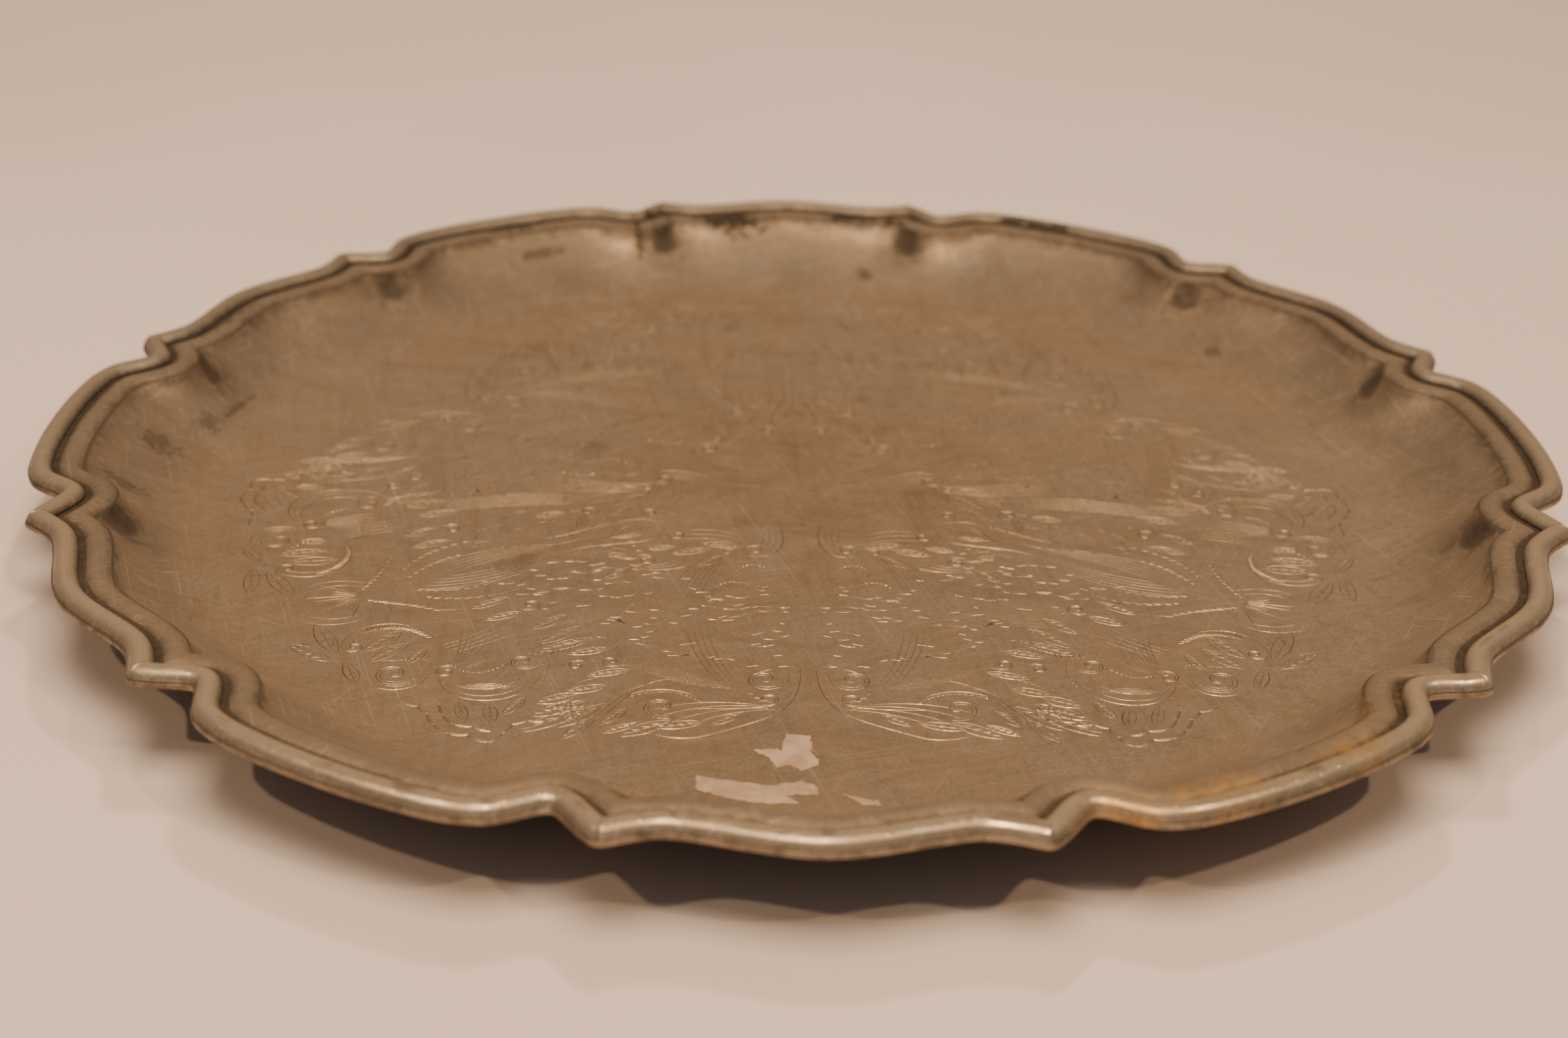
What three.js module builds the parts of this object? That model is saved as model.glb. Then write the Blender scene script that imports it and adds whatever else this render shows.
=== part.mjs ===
// A round serving tray with a pie-crust border: a pressed sheet body, and twelve hollow border
// sections, each filled with lead-tin alloy and soldered round the edge of the sheet.
// Millimetres, +Z up. The origin is the centre of the underside, and -Y is the middle of a bracket.
import * as THREE from "three";

// Sheet body.
const SHEET = 1.2;
const FLOOR_RADIUS = 125.5;
const FLOOR_LOBES = 0.14; // how much of the border's scalloping is left at the edge of the floor
const FLANGE_TOP = 15.4; // top of the sheet where the border sits
const SHEET_OVERHANG = 2.5; // from the border's centre line to the sheet's edge, a thin lip

// Step pressed into the sheet inside the border: distance inside the centre line, and height.
const STEP_PROFILE = [
  { inside: 2.4, top: FLANGE_TOP },
  { inside: 3.0, top: 15.25 },
  { inside: 4.3, top: 15.95 },
  { inside: 5.7, top: 16.3 },
  { inside: 7.3, top: 15.9 },
];
const WALL_INSIDE = 8.8; // where the step ends and the wall begins
const WALL_TOP = 14.8;
const WALL_STEPS = 5;
// The wall's section is a cubic curve. Each handle is a share of the way outwards and a height.
const WALL_FOOT_HANDLE = { share: 0.4, top: SHEET + 2.6 };
const WALL_HEAD_HANDLE = { share: 0.84, top: WALL_TOP - 5.2 };
const LOBE_GROWTH = 1.3; // how late up the wall the scallops grow
const FLOOR_BLUR = 2.8; // degrees over which the scallops' corners are softened at the floor
const RIM_BLUR = 0.4; // and at the top of the wall

// Border section: a half-round shell, open underneath, and its filling.
const BEAD_HALF_WIDTH = 2.2;
const BEAD_HEIGHT = 2.2;
const SHELL_THICKNESS = 0.45;
const FILLING_CLEARANCE = 0.25;
const JOINT_GAP = 0.15; // solder line between neighbouring sections

// Centre line of the border. It repeats, and each repeat is mirrored about the middle of its
// bracket: a shallow bow between two sharp points, then a notch, then half of a long arc.
// Knots are degrees from the middle of the bracket, radius, and slope in mm per degree on the
// side before and the side after. steps is how many facets follow the knot.
const REPEATS = 6;
const RIM_KNOTS = [
  { at: 0, radius: 155, before: 0, after: 0, steps: 3 },
  { at: 8.6, radius: 151.8, before: 0, after: 0, steps: 3 },
  { at: 12.6, radius: 156, before: 1.7, after: -1.5, steps: 3 },
  { at: 16.2, radius: 149.4, before: 0, after: 0, steps: 3 },
  { at: 19.8, radius: 155.8, before: 1.1, after: 0.9, steps: 2 },
  { at: 22.6, radius: 157.1, before: 0.1, after: 0.1, steps: 2 },
  { at: 30, radius: 157.3, before: 0, after: 0, steps: 0 },
];
const POINT = RIM_KNOTS[2].at; // angle of the bracket's sharp points, where sections meet
const REPEAT_ANGLE = 360 / REPEATS;
const HALF_REPEAT = REPEAT_ANGLE / 2;

const SILVER_PLATE = { color: 0x9c8c74, roughness: 0.38, metalness: 1 };
const BRIGHT_SILVER = { color: 0xb9ab96, roughness: 0.28, metalness: 1 };
const LEAD_ALLOY = { color: 0x6d6c6a, roughness: 0.6, metalness: 1 };

// Degrees from the middle of the nearest bracket, from 0 to half a repeat.
function folded(angle) {
  const turns = angle / REPEAT_ANGLE;
  return Math.abs(turns - Math.round(turns)) * REPEAT_ANGLE;
}

// Radius of the border's centre line, by cubic pieces between the knots.
function centreRadius(angle) {
  const a = folded(angle);
  const last = RIM_KNOTS.length - 2;
  const i = Math.min(last, RIM_KNOTS.findLastIndex((knot) => knot.at <= a));
  const from = RIM_KNOTS[i];
  const to = RIM_KNOTS[i + 1];
  const span = to.at - from.at;
  const t = (a - from.at) / span;
  return (
    (1 + 2 * t) * (1 - t) ** 2 * from.radius +
    t * (1 - t) ** 2 * span * from.after +
    t * t * (3 - 2 * t) * to.radius +
    t * t * (t - 1) * span * to.before
  );
}

// Tables over half a repeat hold a radius every TABLE_STEP degrees.
const TABLE_STEP = 0.125;
const TABLE_SIZE = HALF_REPEAT / TABLE_STEP + 1;
const angleOf = (index) => index * TABLE_STEP;

// Points of the centre line that can touch a curve parallel to it within half a repeat.
const CENTRE_STEP = 0.05;
const CENTRE_MARGIN = 15;
const CENTRE_POINTS = [];
for (let a = -CENTRE_MARGIN; a <= HALF_REPEAT + CENTRE_MARGIN; a += CENTRE_STEP) {
  CENTRE_POINTS.push({ angle: a * THREE.MathUtils.DEG2RAD, radius: centreRadius(a) });
}

// Table of the curve parallel to the centre line, a distance inside it (or outside, if negative).
// It is the envelope of circles of that radius, so it rounds or sharpens corners as a real
// parallel curve does and never crosses itself.
function parallel(inside) {
  const reach = Math.abs(inside);
  return Float64Array.from({ length: TABLE_SIZE }, (_, index) => {
    const angle = angleOf(index) * THREE.MathUtils.DEG2RAD;
    let best = centreRadius(angleOf(index));
    for (const point of CENTRE_POINTS) {
      const across = point.radius * Math.sin(point.angle - angle);
      if (Math.abs(across) > reach) continue;
      const along = point.radius * Math.cos(point.angle - angle);
      const half = Math.sqrt(reach * reach - across * across);
      best = inside > 0 ? Math.min(best, along - half) : Math.max(best, along + half);
    }
    return best;
  });
}

// The table after blurring by a bell curve of the given width in degrees.
function blurred(table, width) {
  const reach = Math.ceil((3 * width) / TABLE_STEP);
  const cycle = 2 * (TABLE_SIZE - 1);
  return table.map((_, index) => {
    let sum = 0;
    let weights = 0;
    for (let k = -reach; k <= reach; k++) {
      const wrapped = (((index + k) % cycle) + cycle) % cycle;
      const source = Math.min(wrapped, cycle - wrapped);
      const weight = Math.exp(-((k * TABLE_STEP) ** 2) / (2 * width * width));
      sum += weight * table[source];
      weights += weight;
    }
    return sum / weights;
  });
}

function lookUp(table, angle) {
  const place = folded(angle) / TABLE_STEP;
  const index = Math.min(TABLE_SIZE - 2, Math.floor(place));
  return THREE.MathUtils.lerp(table[index], table[index + 1], place - index);
}

const average = (table) => table.reduce((sum, radius) => sum + radius, 0) / table.length;

// Angles of the facets' edges over one repeat, from the middle of a bracket to the next.
const HALF_STATIONS = RIM_KNOTS.slice(0, -1).flatMap((knot, i) =>
  Array.from({ length: knot.steps }, (_, step) =>
    THREE.MathUtils.lerp(knot.at, RIM_KNOTS[i + 1].at, step / knot.steps),
  ),
);
const STATIONS = [
  ...HALF_STATIONS,
  HALF_REPEAT,
  ...HALF_STATIONS.slice(1)
    .reverse()
    .map((a) => REPEAT_ANGLE - a),
];

// World position at an angle from the middle of the front bracket.
function place(radius, angle, height) {
  const turn = (angle - 90) * THREE.MathUtils.DEG2RAD;
  return new THREE.Vector3(radius * Math.cos(turn), radius * Math.sin(turn), height);
}

// Rows of the sheet's upper side, from the edge of the floor outwards. Each has a table of radii,
// a height, and the way its sheet thickness is measured: out (radial) and down.
function wallRows() {
  const top = blurred(parallel(WALL_INSIDE), RIM_BLUR);
  const topMean = average(top);
  const curve = new THREE.CubicBezierCurve(
    new THREE.Vector2(FLOOR_RADIUS, SHEET),
    ...[WALL_FOOT_HANDLE, WALL_HEAD_HANDLE].map(
      ({ share, top: height }) =>
        new THREE.Vector2(THREE.MathUtils.lerp(FLOOR_RADIUS, topMean, share), height),
    ),
    new THREE.Vector2(topMean, WALL_TOP),
  );
  return Array.from({ length: WALL_STEPS + 1 }, (_, step) => {
    const t = step / WALL_STEPS;
    const point = curve.getPoint(t);
    const tangent = curve.getTangent(t);
    const lobes = THREE.MathUtils.lerp(FLOOR_LOBES, 1, t ** LOBE_GROWTH);
    const shape = blurred(top, THREE.MathUtils.lerp(FLOOR_BLUR, RIM_BLUR, t));
    const table = shape.map((radius) => point.x + lobes * (radius - topMean));
    return { table, height: point.y, out: SHEET * tangent.y, down: SHEET * tangent.x };
  });
}

function stepRows() {
  const rows = STEP_PROFILE.map(({ inside, top }) => ({
    table: parallel(inside),
    height: top,
    out: 0,
    down: SHEET,
  }));
  rows.reverse();
  const edge = { table: parallel(-SHEET_OVERHANG), height: FLANGE_TOP, out: 0, down: SHEET };
  return [...rows, edge];
}

// The sheet: a lathe turning whose rows are then pushed out to their scalloped radii.
function sheetBody() {
  const upper = [...wallRows(), ...stepRows()];
  const lower = upper.map(({ table, height, out, down }) => ({
    table: table.map((radius) => radius + out),
    height: height - down,
  }));
  lower[0].table = upper[0].table;
  lower[0].height = 0;
  const rows = [...lower, ...upper.reverse()];
  const profile = [
    new THREE.Vector2(0, 0),
    ...rows.map(({ height }) => new THREE.Vector2(1, height)),
    new THREE.Vector2(0, SHEET),
  ];
  const around = REPEATS * STATIONS.length;
  const geometry = new THREE.LatheGeometry(profile, around);
  const position = geometry.getAttribute("position");
  for (let i = 0; i < position.count; i++) {
    const row = (i % profile.length) - 1;
    const station = Math.floor(i / profile.length) % around;
    const repeat = Math.floor(station / STATIONS.length);
    const angle = STATIONS[station % STATIONS.length] + repeat * REPEAT_ANGLE;
    const onAxis = row < 0 || row >= rows.length;
    const radius = onAxis ? 0 : lookUp(rows[row].table, angle);
    const height = onAxis ? profile[i % profile.length].y : rows[row].height;
    position.setXYZ(i, ...place(radius, angle, height).toArray());
  }
  return geometry;
}

// Points of a half ellipse standing on the flange, from outside (x negative) to inside.
function halfEllipse(halfWidth, height, segments) {
  return Array.from({ length: segments + 1 }, (_, i) => {
    const turn = Math.PI * (1 - i / segments);
    return new THREE.Vector2(halfWidth * Math.cos(turn), height * Math.sin(turn));
  });
}

function shellProfile() {
  const outer = halfEllipse(BEAD_HALF_WIDTH, BEAD_HEIGHT, 6);
  const inner = halfEllipse(BEAD_HALF_WIDTH - SHELL_THICKNESS, BEAD_HEIGHT - SHELL_THICKNESS, 4);
  return [...outer, ...inner.reverse()];
}

function fillingProfile() {
  const shrink = SHELL_THICKNESS + FILLING_CLEARANCE;
  return halfEllipse(BEAD_HALF_WIDTH - shrink, BEAD_HEIGHT - shrink, 4);
}

// A profile run along the border between two angles. Its x is the distance inside the centre
// line, and its y is the height above the flange.
function borderRun(profile, from, to) {
  const stations = STATIONS.map((a) => [a - REPEAT_ANGLE, a])
    .flat()
    .filter((a) => a >= from && a <= to)
    .sort((a, b) => a - b);
  const steps = stations.length - 1;
  const geometry = new THREE.ExtrudeGeometry(new THREE.Shape(profile), {
    depth: steps,
    steps,
    bevelEnabled: false,
  });
  const tables = new Map();
  const position = geometry.getAttribute("position");
  for (let i = 0; i < position.count; i++) {
    const inside = position.getX(i);
    const key = inside.toFixed(3);
    if (!tables.has(key)) tables.set(key, parallel(inside));
    const step = Math.round(position.getZ(i));
    const angle = stations[step];
    const radius = lookUp(tables.get(key), angle);
    const spot = place(radius, angle, FLANGE_TOP + position.getY(i));
    if (step === 0) spot.add(place(JOINT_GAP / 2, angle + 90, 0));
    if (step === steps) spot.add(place(JOINT_GAP / 2, angle - 90, 0));
    position.setXYZ(i, spot.x, spot.y, spot.z);
  }
  return geometry;
}

function addMesh(group, name, geometry, look) {
  const mesh = new THREE.Mesh(geometry, new THREE.MeshStandardMaterial(look));
  mesh.name = name;
  group.add(mesh);
}

const tray = new THREE.Group();
addMesh(tray, "tray_body", sheetBody(), SILVER_PLATE);
const runs = {
  bracket: { from: -POINT, to: POINT },
  arc: { from: POINT, to: REPEAT_ANGLE - POINT },
};
for (let repeat = 0; repeat < REPEATS; repeat++) {
  const turned = new THREE.Group();
  turned.rotation.z = repeat * REPEAT_ANGLE * THREE.MathUtils.DEG2RAD;
  for (const [kind, { from, to }] of Object.entries(runs)) {
    const number = repeat + 1;
    addMesh(turned, `border_${kind}_${number}`, borderRun(shellProfile(), from, to), BRIGHT_SILVER);
    addMesh(turned, `${kind}_filling_${number}`, borderRun(fillingProfile(), from, to), LEAD_ALLOY);
  }
  tray.add(turned);
}

export default tray;
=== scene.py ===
"""A round silver-plated serving tray with a pie-crust border, engraved, tarnished and worn.

Lengths are in millimetres until a mesh is made. Angles are in degrees from the middle of the
front bracket, anticlockwise from above.
"""

import math

import bpy
import numpy as np
from mathutils import Matrix, Vector
from mathutils.geometry import delaunay_2d_cdt
from mathutils.kdtree import KDTree


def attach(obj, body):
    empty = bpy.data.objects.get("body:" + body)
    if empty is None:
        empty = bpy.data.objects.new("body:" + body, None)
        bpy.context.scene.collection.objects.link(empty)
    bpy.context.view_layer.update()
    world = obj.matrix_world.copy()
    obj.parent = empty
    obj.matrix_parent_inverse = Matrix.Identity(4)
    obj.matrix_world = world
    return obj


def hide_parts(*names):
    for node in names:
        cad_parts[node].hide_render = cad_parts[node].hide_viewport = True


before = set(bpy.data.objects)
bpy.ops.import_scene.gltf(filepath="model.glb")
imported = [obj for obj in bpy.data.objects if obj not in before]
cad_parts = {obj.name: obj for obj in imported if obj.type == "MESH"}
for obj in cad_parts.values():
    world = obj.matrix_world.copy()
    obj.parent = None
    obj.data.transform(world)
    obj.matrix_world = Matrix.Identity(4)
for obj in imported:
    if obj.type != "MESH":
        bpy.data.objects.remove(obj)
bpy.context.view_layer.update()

MM = 0.001
RNG = np.random.default_rng(7)

# ---------------------------------------------------------------- outline of the border
REPEATS = 6
REPEAT_ANGLE = 360 / REPEATS
HALF_REPEAT = REPEAT_ANGLE / 2
# Degrees from the middle of the bracket, radius, slope before and slope after in mm per degree.
RIM_KNOTS = (
    (0, 155, 0, 0),
    (8.6, 151.8, 0, 0),
    (12.6, 156, 1.7, -1.5),
    (16.2, 149.4, 0, 0),
    (19.8, 155.8, 1.1, 0.9),
    (22.6, 157.1, 0.1, 0.1),
    (30, 157.3, 0, 0),
)
POINT = RIM_KNOTS[2][0]
TABLE_STEP = 0.1
STATION_STEP = 0.2
HALF_ANGLES = np.arange(0, HALF_REPEAT + TABLE_STEP / 2, TABLE_STEP)
CENTRE_MARGIN = 15


def folded(angle):
    """Degrees from the middle of the nearest bracket."""
    turns = np.asarray(angle, float) / REPEAT_ANGLE
    return np.abs(turns - np.round(turns)) * REPEAT_ANGLE


def centre_radius(angle):
    """Radius of the border's centre line, by cubic pieces between the knots."""
    a = folded(angle)
    radius = np.zeros_like(a)
    for (start, r0, _, slope0), (end, r1, slope1, _) in zip(RIM_KNOTS, RIM_KNOTS[1:]):
        span = end - start
        t = (a - start) / span
        curve = (
            (1 + 2 * t) * (1 - t) ** 2 * r0
            + t * (1 - t) ** 2 * span * slope0
            + t * t * (3 - 2 * t) * r1
            + t * t * (t - 1) * span * slope1
        )
        here = (t >= -1e-9) & (t <= 1 + 1e-9)
        radius[here] = curve[here]
    return radius


CENTRE_ANGLES = np.arange(-CENTRE_MARGIN, HALF_REPEAT + CENTRE_MARGIN, 0.02)
CENTRE_TURNS = np.radians(CENTRE_ANGLES[None, :] - HALF_ANGLES[:, None])
CENTRE_ACROSS = centre_radius(CENTRE_ANGLES) * np.sin(CENTRE_TURNS)
CENTRE_ALONG = centre_radius(CENTRE_ANGLES) * np.cos(CENTRE_TURNS)


def parallel(inside):
    """Radii over half a repeat of the curve a distance inside the centre line."""
    half = np.sqrt(np.maximum(inside**2 - CENTRE_ACROSS**2, 0))
    touching = np.abs(CENTRE_ACROSS) <= abs(inside)
    centre = centre_radius(HALF_ANGLES)
    if inside > 0:
        return np.minimum(np.where(touching, CENTRE_ALONG - half, np.inf).min(1), centre)
    return np.maximum(np.where(touching, CENTRE_ALONG + half, -np.inf).max(1), centre)


def blurred(table, width):
    """The table after blurring round the rim by a bell curve of that width in degrees."""
    ring = np.concatenate([table, table[-2:0:-1]])
    waves = np.fft.rfftfreq(len(ring), TABLE_STEP)
    smooth = np.fft.rfft(ring) * np.exp(-2 * (np.pi * waves * width) ** 2)
    return np.fft.irfft(smooth, len(ring))[: len(table)]


def at(table, angle):
    return np.interp(folded(angle), HALF_ANGLES, table)


def place(radius, angle, height):
    """Points at those radii, angles and heights, n by 3."""
    turn = np.radians(np.asarray(angle, float) - 90)
    radius = np.broadcast_to(radius, turn.shape)
    height = np.broadcast_to(height, turn.shape)
    return np.stack([radius * np.cos(turn), radius * np.sin(turn), height], -1)


# ---------------------------------------------------------------- sheet body
SHEET = 1.2
FLOOR_RADIUS = 125.5
FLOOR_LOBES = 0.14
FLANGE_TOP = 15.4
WALL_INSIDE = 8.8
WALL_TOP = 14.8
WALL_STEPS = 30
# Handles of the wall's curve: share of its width, and rise above the floor or drop below its top.
WALL_FOOT_SHARE = 0.4
WALL_FOOT_RISE = 2.6
WALL_HEAD_SHARE = 0.84
WALL_HEAD_DROP = 5.2
# How the lobes grow up the wall, as a power of the way up.
LOBE_GROWTH = 1.3
# Blur of the outline round the rim in degrees, at the top of the wall and added at the floor.
RIM_BLUR = 0.4
FLOOR_BLUR = 2.4
# The dark smear down the wall beside each point: strength, and place and width in degrees.
SMEAR = 0.95
SMEAR_PLACE = POINT + 1
SMEAR_WIDTH = 3
# How far up the wall it starts to darken under the step, and how much.
WALL_DARKENING_START = 0.86
WALL_DARKENING_MOST = 0.75
# Distance inside the centre line, height above the flange, darkening, and rub (worn bright, with painted
# sheen) of the pressed step.
STEP_PROFILE = (
    (8.3, -0.24, 0.85, 0),
    (7.7, 0.2, 0.5, 0),
    (7.0, 0.58, 0, 0.1),
    (6.3, 0.8, 0, 0.1),
    (5.6, 0.88, 0, 0.15),
    (4.9, 0.78, 0.1, 0.1),
    (4.2, 0.5, 0.45, 0),
    (3.6, 0.16, 0.9, 0),
    (3.1, -0.1, 1, 0),
    (2.7, -0.14, 1, 0),
    (2.1, 0, 1, 0),
)
# The sheet's edge below the border: distance outside the centre line, height above the flange.
SHEET_EDGE = (
    (2.3, 0),
    (2.44, -0.06),
    (2.56, -0.26),
    (2.58, -0.6),
    (2.52, -0.94),
    (2.36, -1.14),
    (2.2, -SHEET),
)
# Painted shade on the sheet's edge under the bead, and the rub there.
EDGE_PAINTED_SHADE = 0.7
EDGE_RUB = 0.1


def wall_rows():
    """Rows of the wall from the floor outwards: radii, height, normal and marks."""
    top = blurred(parallel(WALL_INSIDE), RIM_BLUR)
    middle = top.mean()
    span = middle - FLOOR_RADIUS
    knots = np.array(
        [
            (FLOOR_RADIUS, SHEET),
            (FLOOR_RADIUS + WALL_FOOT_SHARE * span, SHEET + WALL_FOOT_RISE),
            (FLOOR_RADIUS + WALL_HEAD_SHARE * span, WALL_TOP - WALL_HEAD_DROP),
            (middle, WALL_TOP),
        ]
    )
    smear = SMEAR * np.exp(-(((HALF_ANGLES - SMEAR_PLACE) / SMEAR_WIDTH) ** 2))
    rows = []
    for t in np.linspace(0, 1, WALL_STEPS + 1):
        blend = np.array([(1 - t) ** 3, 3 * t * (1 - t) ** 2, 3 * t * t * (1 - t), t**3])
        slope = np.array([-((1 - t) ** 2), (1 - t) * (1 - 3 * t), t * (2 - 3 * t), t * t])
        radius, height = blend @ knots
        along = slope @ knots
        along /= np.hypot(*along)
        lobes = FLOOR_LOBES + (1 - FLOOR_LOBES) * t**LOBE_GROWTH
        shape = blurred(top, RIM_BLUR + FLOOR_BLUR * (1 - t))
        rows.append(
            {
                "table": radius + lobes * (shape - middle),
                "height": height,
                "out": SHEET * along[1],
                "down": SHEET * along[0],
                "tarnish_and_shade": np.maximum(
                    max(WALL_DARKENING_MOST * (t - WALL_DARKENING_START) / (1 - WALL_DARKENING_START), 0),
                    smear * np.clip((t - 0.3) / 0.4, 0, 1),
                ),
                "rub_and_sheen": 0,
            }
        )
    return rows


def step_rows():
    rows = []
    for inside, height, tarnish_and_shade, rub_and_sheen in STEP_PROFILE:
        rows.append({"table": parallel(inside), "height": FLANGE_TOP + height, "tarnish_and_shade": tarnish_and_shade, "rub_and_sheen": rub_and_sheen})
    return rows


def edge_rows():
    rows = []
    for outside, height in SHEET_EDGE:
        edge_height = FLANGE_TOP + height
        rows.append({"table": parallel(-outside), "height": edge_height, "tarnish_and_shade": EDGE_PAINTED_SHADE, "rub_and_sheen": EDGE_RUB})
    return rows


def lower_rows(upper):
    """The underside, from the rim back to the floor, blackened all over as painted shade."""
    rows = []
    for row in upper[::2]:
        rows.append(
            {
                "table": row["table"] + row.get("out", 0),
                "height": row["height"] - row.get("down", SHEET),
                "tarnish_and_shade": 1,
                "rub_and_sheen": 0,
            }
        )
    rows[0] = dict(rows[0], table=upper[0]["table"], height=0)
    return rows[::-1]


def mesh_object(name, points, faces, marks, flat=()):
    """A piece from points in mm. marks maps attribute names to one value a point."""
    mesh = bpy.data.meshes.new(name)
    mesh.from_pydata((np.asarray(points) * MM).tolist(), [], faces)
    for label, values in marks.items():
        layer = mesh.attributes.new(label, "FLOAT", "POINT")
        layer.data.foreach_set("value", np.asarray(values, np.float32))
    smooth = np.ones(len(mesh.polygons), bool)
    smooth[list(flat)] = False
    mesh.polygons.foreach_set("use_smooth", smooth)
    mesh.validate()
    mesh.update()
    piece = bpy.data.objects.new(name, mesh)
    bpy.context.scene.collection.objects.link(piece)
    return piece


def along_row(value, angles):
    """A row's mark at each angle, from a table over half a repeat or from one number."""
    if np.ndim(value):
        return at(value, angles)
    return np.full(len(angles), value)


def loft(rows, angles, closed_round, closed_rows):
    """Points and quads through rows of points over the given angles."""
    points = np.concatenate([place(at(r["table"], angles), angles, r["height"]) for r in rows])
    marks = {}
    for key in ("tarnish_and_shade", "rub_and_sheen"):
        marks[key] = np.concatenate([along_row(row[key], angles) for row in rows])
    count = len(angles)
    columns = count if closed_round else count - 1
    spans = len(rows) if closed_rows else len(rows) - 1
    faces = []
    for row in range(spans):
        above = (row + 1) % len(rows)
        for i in range(columns):
            j = (i + 1) % count
            faces.append((row * count + i, row * count + j, above * count + j, above * count + i))
    return points, faces, marks


# ---------------------------------------------------------------- engraving
# Drawn on one sixth of the floor, from the middle of a bracket to the middle of the next, and
# repeated by reflection. x runs across and y outwards from the centre, along the bracket.
WEDGE_ANGLE = REPEAT_ANGLE
GROOVE_SLOPE = 0.95
MAIN_CUT = 0.13
FINE_CUT = 0.08
SHEAF_CUT = 0.8 * FINE_CUT
DOT_CUT = 0.2
DOT_HALF_LENGTH = 0.22
# Spacing of the depth samples, the width of the bare strip at the wedge's sides in degrees, how
# near two points have to be to become one, and how far a sample is looked for.
SAMPLE_SPACING = 0.08
WEDGE_MARGIN = 0.02
MERGE_DISTANCE = 1e-4
SAMPLE_REACH = 1.2 * MAIN_CUT
FLICKS = 120
STROKES = []


def stroke(points, half_width=FINE_CUT):
    """One cut that swells from nothing and tapers off again."""
    points = np.asarray(points, float)
    t = np.linspace(0, 1, len(points))
    swell = np.sin(np.pi * (0.04 + 0.92 * t)) ** 0.6
    STROKES.append((points, half_width * swell))


def bezier(a, b, c, d, count=14):
    t = np.linspace(0, 1, count)[:, None]
    a, b, c, d = (np.array(p, float) for p in (a, b, c, d))
    return (1 - t) ** 3 * a + 3 * t * (1 - t) ** 2 * b + 3 * t * t * (1 - t) * c + t**3 * d


def volute(centre, radius, start, turns, hand=1, tight=0.85):
    """A scroll that winds in from its rim towards the centre."""
    count = max(10, int(26 * turns))
    t = np.linspace(0, 1, count)
    angle = np.radians(start) + hand * turns * 2 * np.pi * t
    r = radius * (1 - tight * t**0.9)
    return np.array(centre) + np.stack([r * np.cos(angle), r * np.sin(angle)], -1)


def turned(vectors, degrees):
    a = math.radians(degrees)
    return vectors @ np.array([[math.cos(a), math.sin(a)], [-math.sin(a), math.cos(a)]])


def fringe(curve, count, length, lean, half_width=FINE_CUT, start=0.05, end=0.95):
    """Short curved cuts that leave a curve at an angle, longest in the middle."""
    ways = np.gradient(curve, axis=0)
    ways /= np.linalg.norm(ways, axis=1)[:, None]
    for t in np.linspace(start, end, count):
        i = t * (len(curve) - 1)
        root = np.array([np.interp(i, range(len(curve)), curve[:, k]) for k in (0, 1)])
        way = ways[int(round(i))]
        reach = length * (0.45 + 0.55 * math.sin(math.pi * t)) * RNG.uniform(0.85, 1.1)
        first = root + turned(way, lean) * 0.35 * reach
        second = root + turned(way, 0.55 * lean) * 0.8 * reach
        tip = root + turned(way, 0.4 * lean) * reach
        stroke(bezier(root, first, second, tip, 6), half_width)


def leaf(root, tip, belly, veins=4):
    """Two bowed edges, a midrib and slanting veins."""
    root, tip = np.array(root, float), np.array(tip, float)
    along = tip - root
    across = np.array([-along[1], along[0]]) * belly
    for side in (1, -1):
        first = root + 0.3 * along + side * across
        second = root + 0.75 * along + side * 0.8 * across
        stroke(bezier(root, first, second, tip, 9), MAIN_CUT if side > 0 else FINE_CUT)
    stroke(bezier(root, root + 0.3 * along + 0.1 * across, root + 0.6 * along, root + 0.85 * along, 7))
    for k in range(veins):
        t = 0.2 + 0.55 * k / max(1, veins - 1)
        for side in (1, -1):
            start = root + t * along
            end = start + 0.16 * along + side * 0.5 * across * (1 - 0.6 * t)
            stroke([start, (start + end) / 2 + 0.02 * along, end])


def flower(centre, radius, petals, spin):
    centre = np.array(centre, float)
    for k in range(petals):
        a = math.radians(spin + 360 * k / petals)
        way = np.array([math.cos(a), math.sin(a)])
        side = np.array([-way[1], way[0]])
        inner = centre + 0.25 * radius * way
        outer = centre + radius * way
        for s in (1, -1):
            bow = inner + 0.45 * radius * way + s * 0.55 * radius * side
            stroke(bezier(inner, bow, outer + s * 0.3 * radius * side, outer, 8), MAIN_CUT)
            stroke(bezier(inner, inner + 0.2 * radius * way, bow, bow + 0.1 * radius * way, 5))
        stroke([inner, (inner + outer) / 2])
    stroke(volute(centre, 0.24 * radius, 0, 1, tight=0.1))


def dots(curve, count):
    """A row of short nicks along a curve."""
    ways = np.gradient(curve, axis=0)
    for i in np.linspace(0, len(curve) - 1, count):
        root = np.array([np.interp(i, range(len(curve)), curve[:, k]) for k in (0, 1)])
        way = ways[int(round(i))]
        way = way / np.hypot(*way)
        stroke([root - DOT_HALF_LENGTH * way, root, root + DOT_HALF_LENGTH * way], DOT_CUT)


def hatch(centre, width, height, count, slant):
    """Ruled lines that fill an ellipse."""
    for k in np.linspace(-0.9, 0.9, count):
        half = width * math.sqrt(1 - k * k)
        line = np.array([(-half, k * height), (0, k * height + 0.12 * height), (half, k * height)])
        stroke(np.array(centre) + turned(line, slant))


def scallops(points, radius):
    """Small arcs along a broken line."""
    for start, end in zip(points, points[1:]):
        start, end = np.array(start, float), np.array(end, float)
        out = np.array([-(end - start)[1], (end - start)[0]]) * 0.5 * radius
        stroke(bezier(start, start + out, end + out, end, 9), MAIN_CUT)
        stroke(bezier(start, start + 0.45 * out, end + 0.45 * out, end, 7))


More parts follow.
